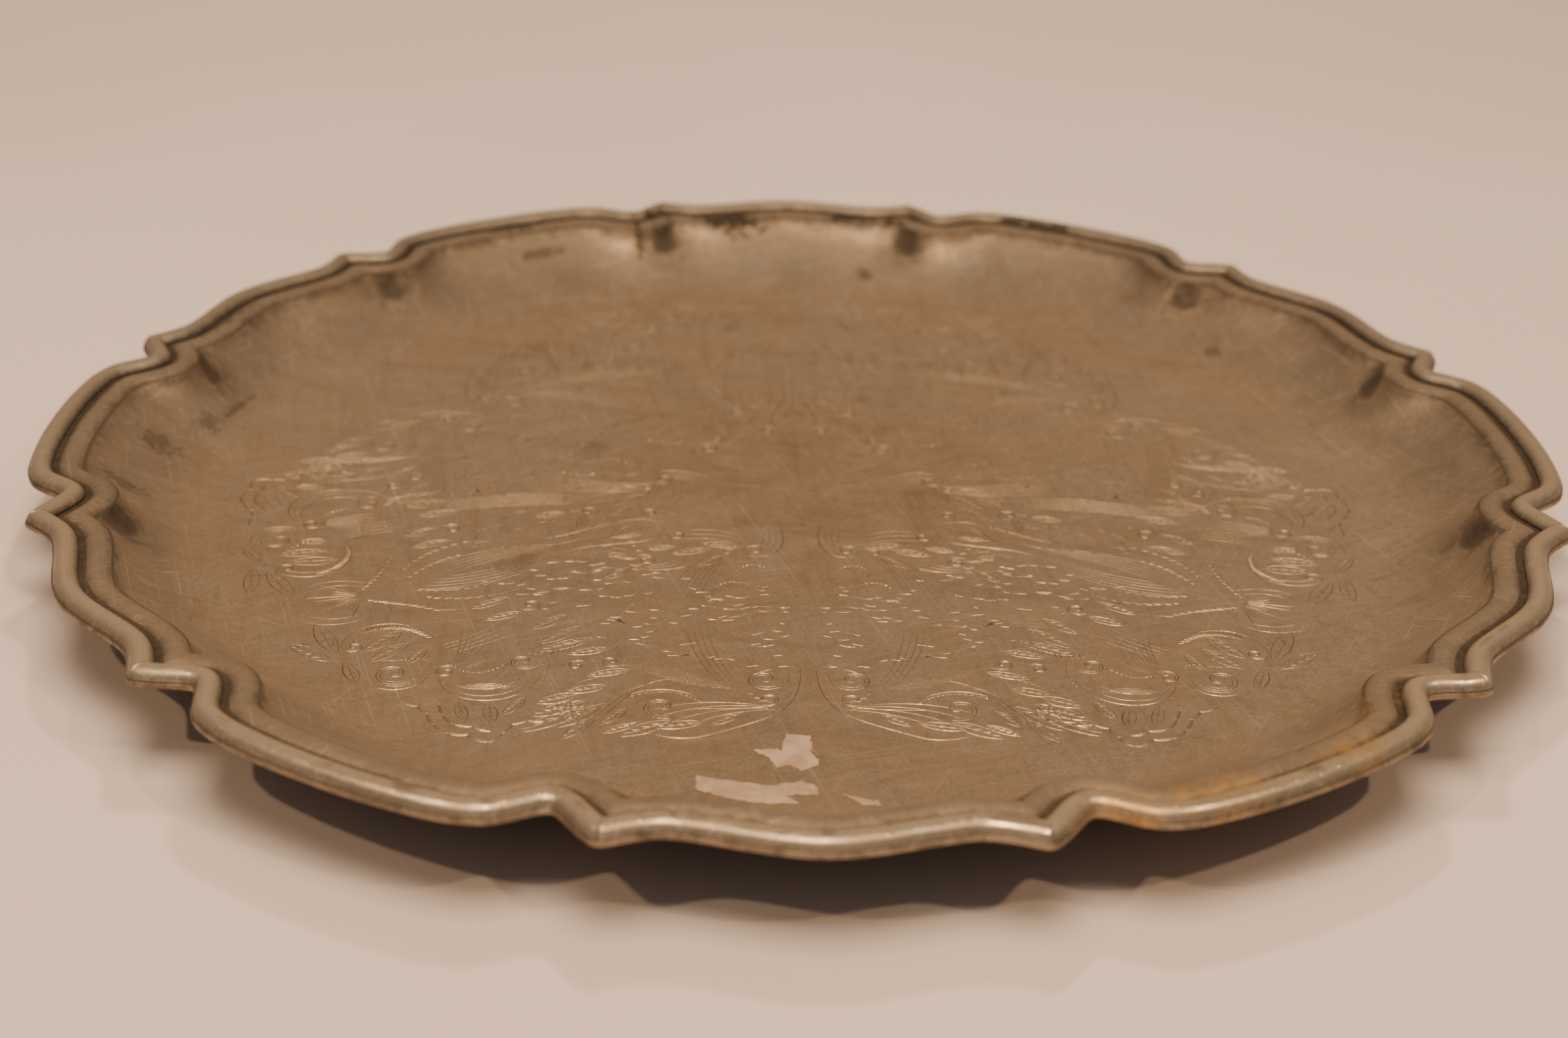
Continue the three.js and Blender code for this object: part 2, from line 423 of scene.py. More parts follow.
def sheaf(first, last, count, half_width=SHEAF_CUT):
    """Evenly spaced curves from one bezier's control points to another's."""
    first, last = np.array(first, float), np.array(last, float)
    for t in np.linspace(0, 1, count):
        stroke(bezier(*((1 - t) * first + t * last), 18), half_width)


def scroll(centre, radius, start, turns, hand):
    """A volute cut twice, one line inside the other."""
    stroke(volute(centre, radius, start, turns, hand), MAIN_CUT)
    stroke(volute(centre, 0.8 * radius, start, 0.85 * turns, hand))


def leaves(items):
    for root, tip, belly in items:
        leaf(root, tip, belly)


def draw_stems():
    stroke(bezier((1.5, 77), (1.3, 95), (9, 95), (18, 101), 24), MAIN_CUT)
    stroke(bezier((15, 97.5), (18, 102.6), (24, 103), (28, 100.6), 14), MAIN_CUT)
    stroke(bezier((3, 84), (4, 93), (12, 91.5), (22, 92), 20))
    scroll((8.2, 81.2), 4.7, 200, 1.35, -1)
    scroll((7.8, 88.4), 2.7, 70, 1.1, 1)
    fringe(bezier((11, 84), (12, 88), (9, 91), (6, 90), 10), 6, 1.6, 120)
    sheaf(((7, 92), (14, 92.5), (19, 95), (24, 99.5)), ((9, 90.5), (16, 89), (24, 89), (31, 94)), 4)
    scroll((26.8, 91.3), 4.3, 110, 1.1, -1)
    dots(bezier((19.5, 90), (22, 86.5), (28, 84), (33.5, 88.5), 20), 15)
    stroke(bezier((19, 89.5), (22, 85.5), (28, 83), (34, 88), 16), MAIN_CUT)
    first = ((26, 81.5), (33, 83), (34, 92), (40.5, 99))
    last = ((31, 84), (37, 88), (38.5, 94), (42.5, 98))
    sheaf(first, last, 3, MAIN_CUT)


def draw_leaf_spray():
    leaves(
        (
            ((19, 96.5), (28, 98.5), 0.2),
            ((25, 96), (34, 101.5), 0.22),
            ((31, 97), (37, 100.5), 0.2),
            ((36, 90), (46, 99), 0.18),
            ((40, 92), (52.5, 100.6), 0.17),
            ((40.5, 89.5), (50, 95), 0.22),
            ((38.5, 95), (44, 102.5), 0.2),
            ((42, 87), (49.5, 90.5), 0.26),
            ((37, 84), (44.5, 86.5), 0.24),
            ((33, 92), (37.5, 97.5), 0.22),
            ((12, 93), (18, 97.5), 0.2),
        )
    )
    flower((43.5, 92.5), 3, 5, 20)
    fringe(bezier((34, 79), (40, 80), (44, 83), (47, 87), 12), 12, 3, 35)
    edge = [(47.5, 96.5), (50.5, 96.2), (53.2, 97.6), (54.6, 100.6), (56.6, 103.6), (60.3, 101.2)]
    scallops(edge + [(63.8, 100.8), (66.6, 97.8), (68.2, 94.2), (70.4, 91.6), (74, 89.8)], 0.5)
    scallops([(56.5, 100), (60, 98.4), (63.4, 97.6), (65.4, 94.4), (66.4, 91)], 0.5)
    leaves(
        (
            ((58, 90.5), (56.5, 97.5), 0.26),
            ((63.5, 90), (61.5, 97), 0.22),
            ((51.5, 88.5), (55, 94.5), 0.24),
        )
    )


def draw_cartouche():
    stroke(bezier((49.3, 80), (51, 92.5), (66, 92.5), (68, 81.5), 28), MAIN_CUT)
    stroke(bezier((50.6, 80), (52.5, 90), (64.5, 90.5), (67, 82), 26))
    stroke(bezier((52.2, 79.3), (54, 87), (63.5, 87.5), (66.4, 82), 22), MAIN_CUT)
    hatch((59.2, 84.6), 4.6, 1.1, 5, 0)
    dots(bezier((56.8, 77), (59.5, 80.5), (63.5, 80.4), (66, 77.2), 20), 12)
    dots(bezier((48.8, 73.5), (47.8, 76.5), (48, 80), (49.2, 83), 20), 9)
    scroll((53, 75.2), 3.5, 160, 1.15, -1)
    scroll((66.9, 79.4), 2.8, 190, 1.4, 1)
    sheaf(((56.5, 71), (58.5, 74), (61, 76.5), (63.5, 78)), ((66, 63.5), (65, 68), (65.5, 73), (66, 76.5)), 8)
    sheaf(((57, 66), (60, 68), (63, 70.5), (66, 72)), ((60, 62), (63, 65), (66, 68), (69, 69.5)), 4)
    fringe(bezier((44, 68), (46, 70), (49, 71), (52, 71), 12), 8, 3.2, 130, MAIN_CUT)


def draw_side_scroll():
    scroll((76.4, 80.2), 4.4, 150, 1.35, -1)
    stroke(bezier((69.8, 80), (71, 86.5), (77, 88), (81, 83.5), 16), MAIN_CUT)
    stroke(bezier((70.8, 80), (72, 85), (76.5, 86.4), (80, 82.8), 14))
    arch = bezier((70.5, 67), (76, 57.5), (89, 60), (87.8, 73), 26)
    stroke(arch, MAIN_CUT)
    stroke(bezier((73, 67), (78, 60.5), (87, 62.5), (86, 73), 22))
    fringe(arch[:17], 17, 2.8, 130, MAIN_CUT)
    scroll((85.2, 70.4), 2.3, 0, 1.3, 1)
    leaves(
        (
            ((77, 64), (83, 72), 0.26),
            ((75, 68.5), (81.5, 76), 0.22),
            ((71.5, 71), (74.5, 76.5), 0.26),
            ((88.5, 76), (97.5, 69.5), 0.2),
            ((88, 73), (94, 61.5), 0.2),
            ((82.5, 84), (86, 76), 0.22),
        )
    )
    dots(bezier((70.5, 76), (71.5, 73), (75, 76), (79, 75.4), 16), 9)


def draw_star():
    """Rays that open from the middle of the next bracket."""
    for k in range(9):
        a = math.radians(-4 + 11 * k)
        way = np.array([math.cos(a), math.sin(a)])
        root = np.array((86.5, 50.5)) + 1.2 * way
        length = 7 + 3 * math.sin(1.7 * k)
        stroke([root, root + 0.5 * length * way, root + length * way], MAIN_CUT)
    sheaf(((84, 53.5), (86, 59), (90, 61), (96, 58.5)), ((82, 53), (84, 61.5), (91, 64), (98.5, 60)), 2)
    fringe(bezier((70, 56), (75, 53), (80, 52), (85, 51.5), 12), 10, 2.6, 60, MAIN_CUT)


def draw_swags():
    stroke(bezier((28.5, 17.5), (28.5, 30), (42, 22.5), (50, 32), 26), MAIN_CUT)
    sheaf(((48, 30), (56, 42), (66, 46.8), (77, 47)), ((54, 33), (61, 38), (66, 40), (72, 41.6)), 5)
    fringe(bezier((62, 44), (66, 46), (70, 47), (76, 47), 12), 8, 2.4, 40, MAIN_CUT)
    sheaf(((11.5, 28), (17, 34), (20, 42), (21, 52)), ((14.5, 26.5), (21, 32), (25, 40), (27, 48)), 6)
    sheaf(((27, 41), (32, 52), (38, 58), (45, 62)), ((31, 39), (37, 48), (42, 55), (49, 60)), 7)
    sheaf(((43, 62), (36, 66), (30, 76), (12, 86)), ((48, 63), (41, 69), (35, 77), (21, 84)), 8)
    sheaf(((19, 62), (18, 70), (16, 78), (12.5, 83)), ((23, 62), (22, 70), (20, 77), (16, 83)), 4)
    leaves(
        (
            ((43, 61.5), (50.5, 68.5), 0.22),
            ((40.5, 66), (50.5, 71.5), 0.18),
            ((37, 70), (45, 72.5), 0.2),
            ((46, 57), (52.5, 63), 0.22),
            ((33, 78), (41, 80.5), 0.2),
            ((58, 50), (65, 55), 0.2),
            ((55, 56), (62, 59.5), 0.22),
        )
    )
    scroll((36.6, 75), 2.4, 140, 1.2, -1)
    scroll((43, 76.6), 2.2, 200, 1.2, 1)
    scroll((53.6, 53), 2.6, 40, 1.3, 1)
    fringe(bezier((56, 46), (62, 50), (68, 51), (74, 50), 12), 9, 2.2, 40, MAIN_CUT)


def draw_inner_wreath():
    stroke(bezier((4.4, 15.5), (2.4, 26), (4.6, 31.8), (9.4, 31.4), 18), MAIN_CUT)
    scroll((9.6, 28.4), 3, 90, 1.4, -1)
    sheaf(((5.6, 18), (4.4, 24), (5.4, 28), (8.4, 29.6)), ((8.4, 19), (7.2, 23), (7.6, 25.4), (9, 26.4)), 3)
    sheaf(((10.5, 24), (14, 20), (19, 18.5), (24, 19.6)), ((12, 26), (16, 23.6), (20, 22.6), (25, 24)), 3)
    scroll((25.6, 21.8), 2, 0, 1.3, 1)
    scroll((15, 29.4), 1.8, 180, 1.2, 1)
    sheaf(((21, 32.4), (24, 37.6), (30, 39), (34, 36.6)), ((24, 31.6), (27, 35), (29.6, 36), (31.4, 35.4)), 3)
    scroll((31.8, 33.4), 2.7, -30, 1.3, -1)
    leaves(
        (
            ((12.5, 27), (21, 25.4), 0.2),
            ((16, 31), (21.5, 36), 0.24),
            ((18.5, 28), (27, 30.5), 0.2),
            ((25.5, 27), (32, 28.6), 0.2),
            ((34, 33), (40, 30.4), 0.22),
            ((35, 37), (40, 42), 0.24),
            ((33, 22), (40.5, 22.6), 0.2),
        )
    )
    fringe(bezier((34, 26), (38, 28), (42, 29), (47, 33), 12), 10, 2.4, 50)
    dots(bezier((6.6, 42), (5.6, 33.5), (13, 33.5), (13.6, 39), 20), 13)
    dots(bezier((12.6, 43), (16, 41.6), (19, 45), (18, 50.5), 20), 10)


def draw_flicks():
    """Loose short cuts in the quieter parts of the wreath."""
    for _ in range(FLICKS):
        angle = math.radians(RNG.uniform(2, 56))
        radius = RNG.uniform(42, 78)
        root = radius * np.array([math.sin(angle), math.cos(angle)])
        way = turned(np.array([[1.0, 0.0]]), RNG.uniform(-25, 30))[0] * RNG.uniform(1.0, 2.6)
        stroke(bezier(root, root + 0.4 * way, root + 0.8 * way + (0, 0.3), root + way, 5), MAIN_CUT)


def draw_engraving():
    draw_stems()
    draw_leaf_spray()
    draw_cartouche()
    draw_side_scroll()
    draw_star()
    draw_swags()
    draw_inner_wreath()
    draw_flicks()


def inside_wedge(points):
    angle = np.degrees(np.arctan2(points[:, 0], points[:, 1]))
    return (angle > WEDGE_MARGIN) & (angle < WEDGE_ANGLE - WEDGE_MARGIN)


def cut_pieces():
    """The strokes, broken where they leave the wedge."""
    for points, widths in STROKES:
        kept = inside_wedge(points)
        start = None
        for i in range(len(points) + 1):
            if i < len(points) and kept[i]:
                start = i if start is None else start
            elif start is not None:
                if i - start > 1:
                    yield points[start:i], widths[start:i]
                start = None


def stroke_outline(points, widths):
    ways = np.gradient(points, axis=0)
    ways /= np.maximum(np.linalg.norm(ways, axis=1), 1e-9)[:, None]
    side = np.stack([-ways[:, 1], ways[:, 0]], -1) * widths[:, None]
    return points + side, points - side


def engraved_wedge(edge_table):
    """Points (x, y, z) and triangles of one wedge of the floor, cut by every stroke."""
    coords = []
    edges = []

    def chain(points):
        first = len(coords)
        coords.extend(Vector(p) for p in points)
        edges.extend((i, i + 1) for i in range(first, len(coords) - 1))

    arc = np.arange(0, WEDGE_ANGLE + STATION_STEP / 2, STATION_STEP)
    rim = at(edge_table, arc)
    border = np.stack([rim * np.sin(np.radians(arc)), rim * np.cos(np.radians(arc))], -1)
    outline = [(0.0, 0.0)] + border.tolist()
    chain(outline)
    face = list(range(len(outline)))
    samples = []
    for points, widths in cut_pieces():
        left, right = stroke_outline(points, widths)
        chain(points)
        chain(left)
        chain(right)
        for k in range(len(points) - 1):
            way = points[k + 1] - points[k]
            steps = max(2, int(np.hypot(*way) / SAMPLE_SPACING))
            for t in np.linspace(0, 1, steps, endpoint=False):
                x, y = points[k] + t * way
                samples.append((x, y, widths[k] + t * (widths[k + 1] - widths[k])))
    tree = KDTree(len(samples))
    for i, (x, y, _) in enumerate(samples):
        tree.insert((x, y, 0), i)
    tree.balance()
    found = delaunay_2d_cdt(coords, edges, [face], 1, MERGE_DISTANCE, False)
    flat, triangles = found[0], found[2]
    points = np.array([(p[0], p[1], SHEET) for p in flat])
    depth = np.zeros(len(points))
    for i, p in enumerate(points):
        for _, k, gap in tree.find_range((p[0], p[1], 0), SAMPLE_REACH):
            depth[i] = max(depth[i], samples[k][2] - gap)
    points[:, 2] -= GROOVE_SLOPE * depth
    return points, [tuple(t) for t in triangles], np.minimum(1, depth / FINE_CUT)


def floor_mesh(edge_table):
    """The whole floor: the wedge and its reflection, three times round."""
    wedge, triangles, cut = engraved_wedge(edge_table)
    all_points, all_faces, all_cuts = [], [], []
    for repeat in range(REPEATS // 2):
        for mirror in (1, -1):
            turn = math.radians(2 * REPEAT_ANGLE * repeat)
            x = mirror * wedge[:, 0]
            y = -wedge[:, 1]
            spun_x = x * math.cos(turn) - y * math.sin(turn)
            spun_y = x * math.sin(turn) + y * math.cos(turn)
            spun = np.stack([spun_x, spun_y, wedge[:, 2]], -1)
            base = sum(len(p) for p in all_points)
            all_points.append(spun)
            all_cuts.append(cut)
            for a, b, c in triangles:
                face = (a, b, c) if mirror < 0 else (a, c, b)
                all_faces.append(tuple(base + k for k in face))
    return np.concatenate(all_points), all_faces, np.concatenate(all_cuts)


def build_sheet():
    wall = wall_rows()
    upper = wall + step_rows()
    angles = np.arange(0, 360, STATION_STEP)
    rows = upper + edge_rows() + lower_rows(upper)
    points, faces, marks = loft(rows, angles, True, False)
    marks["cut"] = np.zeros(len(points))
    hub = len(points)
    last = (len(rows) - 1) * len(angles)
    under = [(last + i, last + (i + 1) % len(angles), hub) for i in range(len(angles))]
    points = np.concatenate([points, [(0, 0, 0)]])
    for key in marks:
        marks[key] = np.append(marks[key], 0)
    floor_points, floor_faces, cuts = floor_mesh(wall[0]["table"])
    flat_from = len(faces) + len(under)
    floor_faces = [tuple(k + len(points) for k in f) for f in floor_faces]
    points = np.concatenate([points, floor_points])
    marks["cut"] = np.append(marks["cut"], cuts)
    for key in ("tarnish_and_shade", "rub_and_sheen"):
        marks[key] = np.append(marks[key], np.zeros(len(floor_points)))
    faces = faces + under + floor_faces
    flat = range(flat_from, len(faces))
    return mesh_object("tray_sheet", points, faces, marks, flat)


# ---------------------------------------------------------------- border sections
BEAD_HALF_WIDTH = 2.2
BEAD_HEIGHT = 2.2
SHELL_THICKNESS = 0.45
BEAD_SEGMENTS = 22
HOLLOW_SEGMENTS = 8
# How fast the darkening thins out up the bead, on its inner and its outer side: tarnish at its foot, and
# painted shade on its lower sides.
INNER_DARKENING_FALL = 1.35
OUTER_DARKENING_FALL = 1.6
# The bead's thin outer lip: distance inside the centre line and height above the flange.
LIP = [(-2.3, 0), (-2.38, 0.12), (-2.36, 0.26), (-2.24, 0.36)]


def half_ellipse(half_width, height, segments):
    turn = np.pi * (1 - np.linspace(0, 1, segments + 1))
    return [(half_width * math.cos(a), height * math.sin(a)) for a in turn]


def build_border(name, start, end):
    outer = half_ellipse(BEAD_HALF_WIDTH, BEAD_HEIGHT, BEAD_SEGMENTS)
    hollow_half_width = BEAD_HALF_WIDTH - SHELL_THICKNESS
    hollow_height = BEAD_HEIGHT - SHELL_THICKNESS
    inner = half_ellipse(hollow_half_width, hollow_height, HOLLOW_SEGMENTS)
    profile = LIP + outer[2:] + inner[::-1]
    rows = []
    # The bead darkens towards its foot, as tarnish and painted shade, and its top is rubbed bright, with a
    # painted highlight.
    for inside, height in profile:
        rise = height / BEAD_HEIGHT
        rows.append(
            {
                "table": parallel(inside),
                "height": FLANGE_TOP + height,
                "tarnish_and_shade": max(0, 1 - rise * (INNER_DARKENING_FALL if inside > 0 else OUTER_DARKENING_FALL)),
                "rub_and_sheen": max(0, rise * 2 - 1),
            }
        )
    angles = np.arange(start, end + STATION_STEP / 2, STATION_STEP)
    points, faces, marks = loft(rows, angles, False, True)
    marks["cut"] = np.zeros(len(points))
    count = len(angles)
    cap = [r * count for r in range(len(rows))]
    faces.append(tuple(cap[::-1]))
    faces.append(tuple(c + count - 1 for c in cap))
    return mesh_object(name, points, faces, marks)


# ---------------------------------------------------------------- materials
class Graph:
    """A short way to write shader nodes: inputs are values or other nodes' sockets."""

    def __init__(self, name):
        self.material = bpy.data.materials.new(name)
        self.material.use_nodes = True
        self.tree = self.material.node_tree
        self.tree.nodes.clear()
        output = self.tree.nodes.new("ShaderNodeOutputMaterial")
        self.shader = self.tree.nodes.new("ShaderNodeBsdfPrincipled")
        self.tree.links.new(self.shader.outputs[0], output.inputs[0])
        self.where = self.add("TexCoord").outputs["Object"]
        self.mm = self.vector("SCALE", self.where, scale=1 / MM)

    def add(self, kind, inputs=(), **settings):
        node = self.tree.nodes.new("ShaderNode" + kind)
        for key, value in settings.items():
            setattr(node, key, value)
        for key, value in dict(inputs).items():
            self.put(node.inputs[key], value)
        return node

    def put(self, socket, value):
        if isinstance(value, bpy.types.NodeSocket):
            self.tree.links.new(value, socket)
        else:
            socket.default_value = value

    def vector(self, operation, a, b=(0, 0, 0), scale=1.0):
        node = self.add("VectorMath", {0: a, 1: b, 3: scale}, operation=operation)
        return node.outputs[1 if operation in ("LENGTH", "DISTANCE") else 0]

    def math(self, operation, a, b):
        return self.add("Math", {0: a, 1: b}, operation=operation).outputs[0]

    def noise(self, scale, detail=4, roughness=0.6, where=None, distortion=0.0):
        inputs = {
            "Vector": where or self.mm,
            "Scale": scale,
            "Detail": detail,
            "Roughness": roughness,
            "Distortion": distortion,
        }
        return self.add("TexNoise", inputs).outputs[0]

    def ramp(self, value, low, high, to_low=0.0, to_high=1.0):
        """Smooth step of a value between two limits."""
        inputs = {"Value": value, "From Min": low, "From Max": high, "To Min": to_low, "To Max": to_high}
        return self.add("MapRange", inputs, interpolation_type="SMOOTHSTEP").outputs[0]

    def mix(self, factor, a, b):
        node = self.add("Mix", {0: factor, 6: a, 7: b}, data_type="RGBA", clamp_factor=True)
        return node.outputs[2]

    def mark(self, name):
        return self.add("Attribute", attribute_name=name).outputs["Fac"]

    def local(self, centre, degrees, size):
        """Coordinates about a centre, turned by an angle and divided by a size."""
        turn = (0, 0, math.radians(degrees))
        inputs = {"Vector": self.mm, "Location": centre, "Rotation": turn, "Scale": size}
        return self.add("Mapping", inputs, vector_type="TEXTURE").outputs[0]

    def set(self, **values):
        for key, value in values.items():
            self.put(self.shader.inputs[key.replace("_", " ")], value)

    def bump(self, height, distance, strength=1.0, normal=None):
        inputs = {"Height": height, "Distance": distance, "Strength": strength}
        if normal is not None:
            inputs["Normal"] = normal
        return self.add("Bump", inputs).outputs[0]


def rgb(red, green, blue):
    return (red, green, blue, 1.0)


OLD_SILVER = rgb(0.57, 0.37, 0.205)
COOL_SILVER = rgb(0.57, 0.41, 0.26)
PALE_SILVER = rgb(0.72, 0.53, 0.34)
DULL_SILVER = rgb(0.42, 0.28, 0.155)
POLISHED_SHEEN_SILVER = rgb(0.95, 0.72, 0.46)
MIDDLE_BROWN = rgb(0.56, 0.30, 0.13)
RAISED_PAINTED_SHADE = rgb(0.31, 0.24, 0.17)
GREY_TARNISH = rgb(0.38, 0.34, 0.27)
BLACK_TARNISH_AND_SHADE = rgb(0.055, 0.044, 0.034)
SCRATCH_BRIGHT = rgb(0.9, 0.78, 0.62)
CUT_BRIGHT = rgb(0.95, 0.78, 0.54)
WIPE_DULL = rgb(0.36, 0.24, 0.13)
SPECKLE_DARK = rgb(0.36, 0.26, 0.16)
STAIN_ORANGE = rgb(0.66, 0.36, 0.10)
# The middle of the part of the floor that handling has cleaned most, in mm.
HANDLED_SPOT = (-45, -5, 0)
# How many times longer a stain is along the rim than across it.
STAIN_STRETCH = 1.8
# Angles of the fine scratches, with their length and width.
SCRATCHES = ((14, 30, 0.4), (63, 18, 0.3), (108, 40, 0.45), (152, 14, 0.3))
# Angles of the dull wipe marks, with their length and width.
WIPES = ((28, 26, 1.6), (96, 18, 2.2), (-12, 60, 5))
# Dark tarnish: x, y and z in mm, size across, size along the rim, and strength.
SPOTS = (
    (-15, 144, 15, 2.6, 11, 1),
    (20, 144.5, 15, 2.4, 10, 1),
    (-33, 146, 15, 3.2, 3, 0.8),
    (70, 138, 17, 2.2, 12, 0.9),
    (-74, 132, 17, 2, 9, 0.8),
    (-41, 138, 11, 8, 1.2, 0.9),
    (-37, 143, 14, 3, 1.6, 0.9),
    (21, 131, 7, 1.6, 2, 0.7),
    (106, 78, 7, 1.8, 2.6, 0.6),
    (78, 127, 12.5, 1.2, 2.6, 0.7),
    (-139, 8, 11, 4, 4, 0.55),
    (-132, 24, 8, 2.2, 3, 0.5),
    (-128, 34, 7, 0.8, 8, 0.6),
    (-66, 128, 9, 1.2, 5, 0.6),
    (-44, -129, 3, 1.5, 9, 0.4),
    (-140, -16, 13, 6, 2.5, 0.5),
    (-136, 60, 14, 2.6, 14, 0.6),
    (-58, -36, 1, 5, 3.5, 0.35),
    (-46, 22, 1, 3, 5, 0.3),
)
# Yellow-orange stains: x, y and z in mm, and size.
STAINS = (
    (96, -112, 9, 5),
    (88, -128, 15, 4),
    (62, -141, 15, 7),
    (48, -146, 15, 5),
    (-34, -138, 14, 4),
)


def patch_mask(g, centre, across, along, wobble):
    """1 inside an uneven patch, 0 outside. across and along are its sizes in mm."""
    facing = math.degrees(math.atan2(centre[1], centre[0]))
    local = g.local(centre, facing, (across, along, across + 4))
    distance = g.math("ADD", g.vector("LENGTH", local), wobble)
    return g.ramp(distance, 0.6, 1.25, 1, 0)


def fine_marks(g, patchy, radius):
    """Fine scratches, and rings left by turning where handling has cleaned the floor."""
    scratches = 0.0
    for angle, length, width in SCRATCHES:
        streak = g.noise(1.0, 1, 0.5, g.local((0, 0, 0), angle, (length, width, 4)))
        scratches = g.math("MAXIMUM", g.ramp(streak, 0.64, 0.72), scratches)
    ring_inputs = {"W": g.math("MULTIPLY", radius, 1.6), "Detail": 2.0}
    rings = g.add("TexNoise", ring_inputs, noise_dimensions="1D").outputs[0]
    handled = g.ramp(g.vector("DISTANCE", g.mm, HANDLED_SPOT), 20, 60, 1, 0.25)
    handled = g.math("MULTIPLY", handled, g.ramp(patchy, 0.35, 0.6))
    turning = g.math("MULTIPLY", g.ramp(rings, 0.56, 0.68), handled)
    return g.math("ADD", scratches, turning)


def aged_colour(g, broad, patchy, mottle, radius, raised, grey, marks):
    """The silver's colour before wear, black tarnish and stains."""
    colour = g.mix(g.ramp(broad, 0.35, 0.65), OLD_SILVER, COOL_SILVER)
    colour = g.mix(g.ramp(patchy, 0.4, 0.66), colour, PALE_SILVER)
    colour = g.mix(g.ramp(mottle, 0.46, 0.74, 0, 0.6), colour, DULL_SILVER)
    middle = g.math("MULTIPLY", g.ramp(radius, 8, 80, 0.55, 0), g.ramp(patchy, 0.3, 0.6))
    colour = g.mix(middle, colour, MIDDLE_BROWN)
    # Painted shade: the walls and the border are darkened against the floor.
    colour = g.mix(g.math("MULTIPLY", raised, 0.65), colour, RAISED_PAINTED_SHADE)
    colour = g.mix(grey, colour, GREY_TARNISH)
    colour = g.mix(g.math("MULTIPLY", marks, 0.3), colour, SCRATCH_BRIGHT)
    for angle, length, width in WIPES:
        wipe = g.noise(1.0, 3, 0.6, g.local((0, 0, 0), angle, (length, width, 6)))
        colour = g.mix(g.ramp(wipe, 0.48, 0.75, 0, 0.3), colour, WIPE_DULL)
    speckle = g.noise(1.7, 2, 0.6)
    return g.mix(g.ramp(speckle, 0.42, 0.68, 0, 0.4), colour, SPECKLE_DARK)


def black_tarnish_and_shade(g, mottle, wobble):
    """Where tarnish has gone black, in the creases and in the patches of SPOTS, and painted shade on the
    underside, the sheet's edge under the bead and the bead's lower sides.
    """
    smudge = g.noise(0.13, 6, 0.75, distortion=1.5)
    hold = g.math("MAXIMUM", g.ramp(smudge, 0.36, 0.62), g.ramp(g.mark("tarnish_and_shade"), 0.6, 0.85))
    creases_and_shade = g.math("MULTIPLY", g.mark("tarnish_and_shade"), hold)
    black = g.math("MULTIPLY", creases_and_shade, g.ramp(mottle, 0.2, 0.7, 0.8, 1))
    for x, y, z, across, along, strength in SPOTS:
        patch = g.math("MULTIPLY", patch_mask(g, (x, y, z), across, along, wobble), strength)
        black = g.math("MAXIMUM", black, patch)
    return black


def stained(g, mottle, wobble):
    stain = 0.0
    for x, y, z, size in STAINS:
        stain = g.math("MAXIMUM", patch_mask(g, (x, y, z), size, size * STAIN_STRETCH, wobble), stain)
    return g.math("MULTIPLY", stain, g.ramp(mottle, 0.4, 0.6, 0.15, 1))


def silver_roughness(g, patchy, mottle, raised, worn_bright, black, cut):
    rough = g.ramp(patchy, 0.3, 0.7, 0.4, 0.3)
    rough = g.math("ADD", rough, g.ramp(mottle, 0.3, 0.7, -0.04, 0.06))
    rough = g.math("ADD", rough, g.math("MULTIPLY", raised, 0.14))
    rough = g.math("SUBTRACT", rough, worn_bright)
    rough = g.math("ADD", rough, g.math("MULTIPLY", black, 0.25))
    return g.math("ADD", rough, g.math("MULTIPLY", cut, 0.03))


